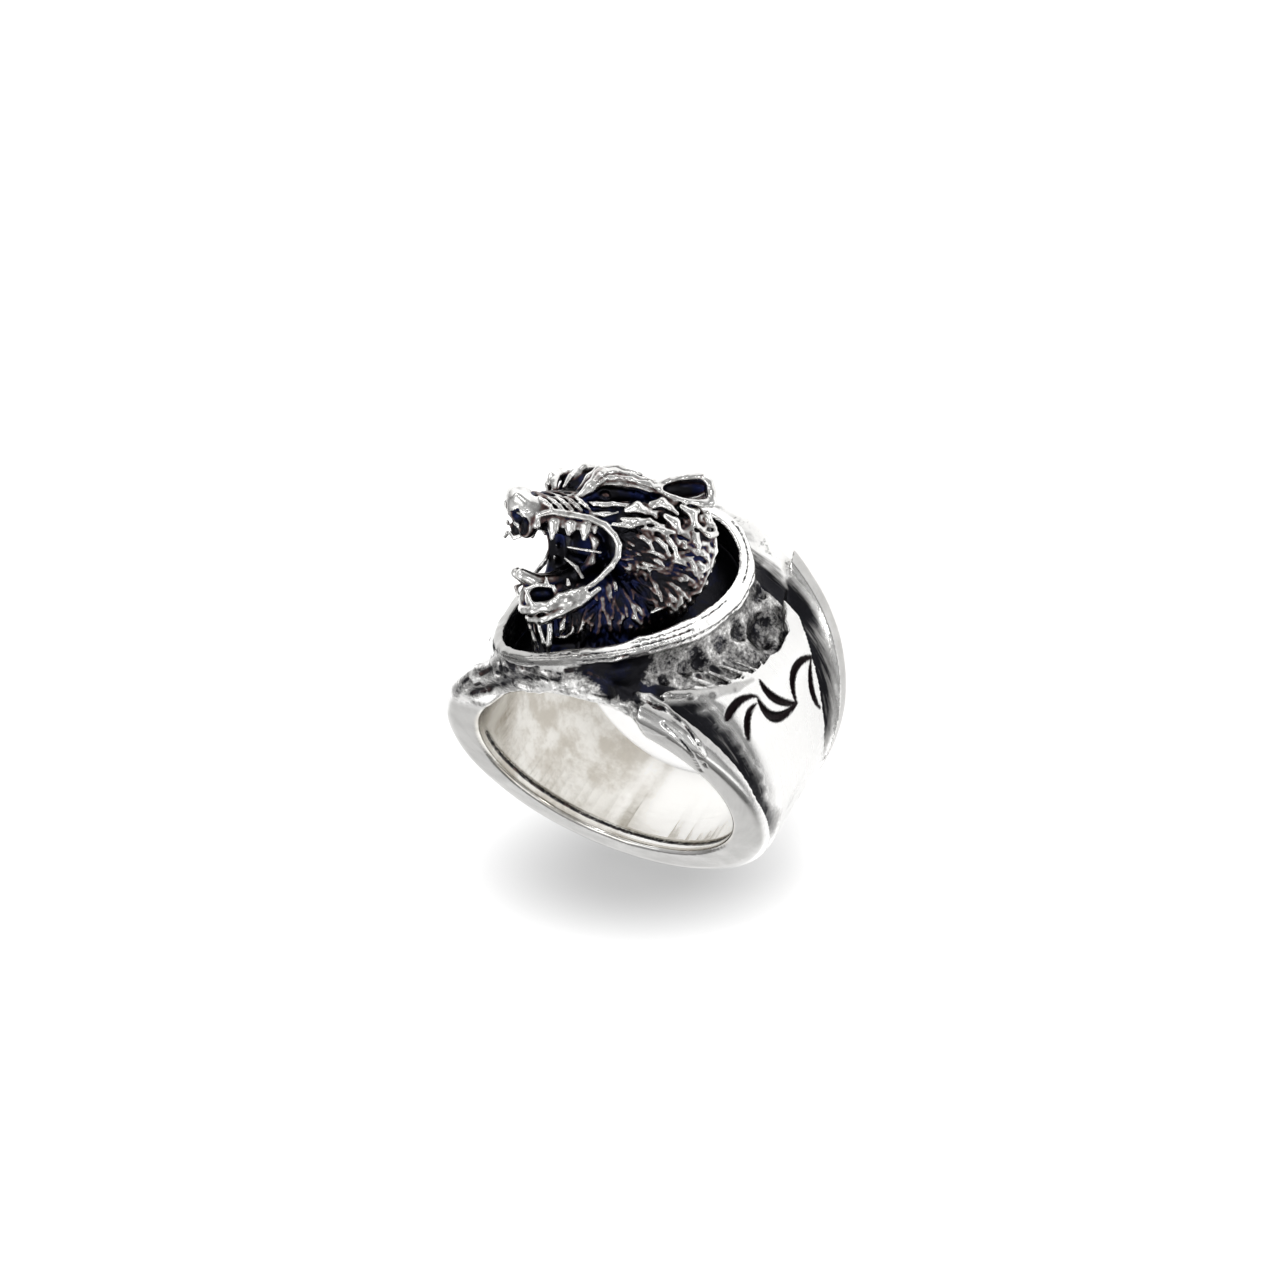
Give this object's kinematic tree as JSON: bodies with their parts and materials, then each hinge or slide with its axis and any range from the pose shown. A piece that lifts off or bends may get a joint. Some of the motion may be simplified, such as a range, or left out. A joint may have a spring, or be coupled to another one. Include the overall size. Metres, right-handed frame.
{
  "type": "wolf head ring",
  "caption": "Cast silver finger ring: a wedge-sided band with side channels and an oblong bezel cup that holds a snarling wolf's head.",
  "frame": {"origin": "middle of the finger hole, on its axis", "axes": "the ring lies on the flat face of its back rail, which looks along -Z; the wolf's head is towards +X; the finger hole leans 17.4 degrees from +Z towards -X"},
  "size_m": [0.0343, 0.0254, 0.0208],
  "materials": {
    "silver": "bright polished sterling silver, dark oxide left in the hollows",
    "blackened_silver": "sterling silver blackened all over, the raised edges polished bright"
  },
  "bodies": {
    "root": {"ring_band": "silver", "wolf_head": "blackened_silver"}
  },
  "joints": []
}
